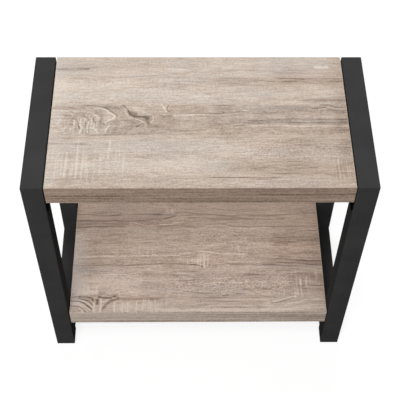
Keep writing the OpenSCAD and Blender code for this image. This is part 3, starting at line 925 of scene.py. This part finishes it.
def chipboard():
    """Pressed flakes of wood in several shades."""
    material, n, shader, place = new_material("chipboard")
    stretch = n.add("ShaderNodeMapping")
    n.feed(stretch.inputs["Vector"], place)
    stretch.inputs["Scale"].default_value = (1, 1, 2.2)
    flakes = n.add("ShaderNodeTexVoronoi")
    n.feed(flakes.inputs["Vector"], stretch.outputs[0])
    flakes.inputs["Scale"].default_value = 420
    tone, _, _ = n.split(flakes.outputs["Color"])
    shades = [(0.0, colour(150, 114, 72)), (0.5, colour(190, 155, 108)),
              (1.0, colour(214, 186, 142))]
    set_surface(
        n, shader,
        base=n.shades(tone, shades),
        roughness=n.ramp(tone, 0, 1, to_low=0.75, to_high=0.9),
        height=flakes.outputs["Distance"], depth=0.3 * MM)
    return material


def kraft_paper():
    """Brown paper with short fibres."""
    material, n, shader, place = new_material("kraft paper")
    x, y, z = n.split(place)
    fibres = n.clouds(x, y, n.times(z, 260), per_metre=(900, 900), detail=2)
    set_surface(
        n, shader,
        base=n.shades(fibres, [(0.2, colour(160, 126, 86)), (0.8, colour(202, 170, 128))]),
        roughness=n.ramp(fibres, 0.2, 0.8, to_low=0.8, to_high=0.95),
        height=fibres, depth=0.05 * MM)
    return material


def plated_metal(name, groups, dark_shade, bright_shade, roughness, bumps):
    """Zinc plate or cast zinc, with a clouded sheen."""
    material, n, shader, place = new_material(name)
    texture = n.use(groups["texture"], Vector=place, Bumps=bumps)
    shader["Metallic"].default_value = 1.0
    set_surface(
        n, shader,
        base=n.shades(texture["Height"], [(0.2, dark_shade), (0.8, bright_shade)]),
        roughness=n.ramp(texture["Height"], 0.2, 0.8, to_low=roughness, to_high=roughness + 0.15),
        height=texture["Height"], depth=0.03 * MM)
    return material


def dress(nodes):
    """Gives every node of the frame its finish."""
    groups = {
        "rings": growth_rings_group(),
        "fibres": wood_fibres_group(),
        "saw marks": saw_marks_group(),
        "mark": mark_group(),
        "line": line_group(),
        "texture": fine_texture_group(),
    }
    underside = driftwood("underside laminate", groups, SHELF_SHADE, SHELF_PLANKS,
                          zones={}, saw_marks=[])
    coat = painted_steel("powder coat", groups, colour(64, 64, 64), colour(70, 70, 70))
    zinc_plate = plated_metal("zinc plate", groups, colour(168, 172, 178), colour(206, 208, 210),
                              roughness=0.28, bumps=700)
    # Each finish by the end of the names that it is for
    finishes = {
        "top_upper_skin": driftwood(
            "top laminate", groups, TOP_SHADE, TOP_PLANKS, TOP_ZONES, TOP_SAW_MARKS),
        "shelf_upper_skin": driftwood(
            "shelf laminate", groups, SHELF_SHADE, SHELF_PLANKS, SHELF_ZONES, SHELF_SAW_MARKS),
        "lower_skin": underside,
        "_strip": chipboard(),
        "_core": kraft_paper(),
        "_leg": coat,
        "_rail": coat,
        # The brackets' near-black colour paints the deep shade that lies under the boards' ends
        "brackets": painted_steel("bracket black for painted shade", groups, colour(14, 14, 15), colour(18, 18, 19)),
        "_foot": foot_plastic(groups),
        "rivet_nuts": zinc_plate,
        "connecting_bolts": zinc_plate,
        "cam_locks": plated_metal("cast zinc", groups, colour(134, 137, 142),
                                  colour(170, 172, 176), roughness=0.42, bumps=1100),
    }
    # The shelf's bands get painted shade towards their right end
    for board, shades, right_painted_shade in (("top", BROWN_BAND, 0.0), ("shelf", PALE_BAND, 0.2)):
        long_bands = edge_band(board + " long bands", groups, "x", shades, right_painted_shade)
        # The end bands take the pale shades, which paint a light line along the boards' ends
        end_bands = edge_band(board + " end bands", groups, "y", PALE_BAND, right_painted_shade=0.0)
        finishes.update({
            board + "_front_band": long_bands, board + "_rear_band": long_bands,
            board + "_left_band": end_bands, board + "_right_band": end_bands})
    for name, node in nodes.items():
        material = next(finishes[ending] for ending in finishes if name.endswith(ending))
        node.data.materials.clear()
        node.data.materials.append(material)


def camera():
    """A camera with a long lens, in front of the table and well above it."""
    data = bpy.data.cameras.new("camera")
    data.lens = CAMERA_LENS
    obj = bpy.data.objects.new("camera", data)
    turn = (Matrix.Rotation(radians(-CAMERA_RIGHT), 4, "Z")
            @ Matrix.Rotation(radians(90 - CAMERA_DOWN), 4, "X")
            @ Matrix.Rotation(radians(CAMERA_ROLL), 4, "Z"))
    obj.matrix_world = Matrix.Translation(CAMERA_PLACE) @ turn
    bpy.context.scene.collection.objects.link(obj)
    bpy.context.scene.camera = obj


def soft_box(name, place, width, power):
    """A square lamp with soft light, turned towards the table and hidden from the camera."""
    data = bpy.data.lights.new(name, "AREA")
    data.shape = "SQUARE"
    data.size = width
    data.energy = power
    obj = bpy.data.objects.new(name, data)
    turn = (TABLE_MIDDLE - Vector(place)).to_track_quat("-Z", "Y").to_matrix().to_4x4()
    obj.matrix_world = Matrix.Translation(place) @ turn
    obj.visible_camera = False
    bpy.context.scene.collection.objects.link(obj)


def seen_directly(n):
    """1 for rays that see the background itself, straight or in a gloss, and 0 for its light."""
    rays = n.add("ShaderNodeLightPath").outputs
    return n.calc("MAXIMUM", rays["Is Camera Ray"],
                  n.calc("MAXIMUM", rays["Is Glossy Ray"], rays["Is Transmission Ray"]))


def room():
    """White all round, with an even soft light."""
    world = bpy.data.worlds.new("room")
    world.use_nodes = True
    n = Nodes(world.node_tree)
    background = world.node_tree.nodes["Background"]
    background.inputs["Color"].default_value = (1, 1, 1, 1)
    n.feed(background.inputs["Strength"], n.ramp(seen_directly(n), 0, 1, ROOM_LIGHT, 1))
    bpy.context.scene.world = world


def floor():
    """A pale floor that is white to the camera and keeps a soft shadow."""
    bpy.ops.object.select_all(action="DESELECT")
    bpy.ops.mesh.primitive_circle_add(vertices=64, radius=FLOOR_RADIUS, fill_type="NGON")
    obj = bpy.context.object
    obj.name = "floor"
    material = bpy.data.materials.new("floor")
    material.use_nodes = True
    n = Nodes(material.node_tree)
    material.node_tree.nodes.remove(material.node_tree.nodes["Principled BSDF"])
    paint = n.add("ShaderNodeBsdfDiffuse")
    paint.inputs["Color"].default_value = (FLOOR_GREY, FLOOR_GREY, FLOOR_GREY, 1)
    glow = n.add("ShaderNodeEmission")
    camera_rays = n.add("ShaderNodeLightPath").outputs["Is Camera Ray"]
    n.feed(glow.inputs["Strength"], n.times(camera_rays, FLOOR_GLOW))
    both = n.add("ShaderNodeAddShader")
    n.feed_all(both.inputs, (paint.outputs[0], glow.outputs[0]))
    n.feed(material.node_tree.nodes["Material Output"].inputs["Surface"], both.outputs[0])
    obj.data.materials.append(material)


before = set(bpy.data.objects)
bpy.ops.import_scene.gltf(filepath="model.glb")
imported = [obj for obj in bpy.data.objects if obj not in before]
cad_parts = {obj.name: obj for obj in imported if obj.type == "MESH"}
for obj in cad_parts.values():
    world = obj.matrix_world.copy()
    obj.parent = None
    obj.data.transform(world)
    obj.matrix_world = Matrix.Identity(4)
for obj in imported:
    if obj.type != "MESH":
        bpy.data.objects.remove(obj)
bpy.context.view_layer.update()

camera()
room()
floor()
soft_box("lamp in front", place=(-0.35, -2.1, 3.6), width=2.4, power=96)
soft_box("low lamp in front", place=(-1.3, -2.5, 0.8), width=1.6, power=11.5)
soft_box("lamp behind", place=(-0.1, 1.8, 2.2), width=1.6, power=32)
dress(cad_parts)
bpy.context.scene.view_settings.view_transform = "Standard"
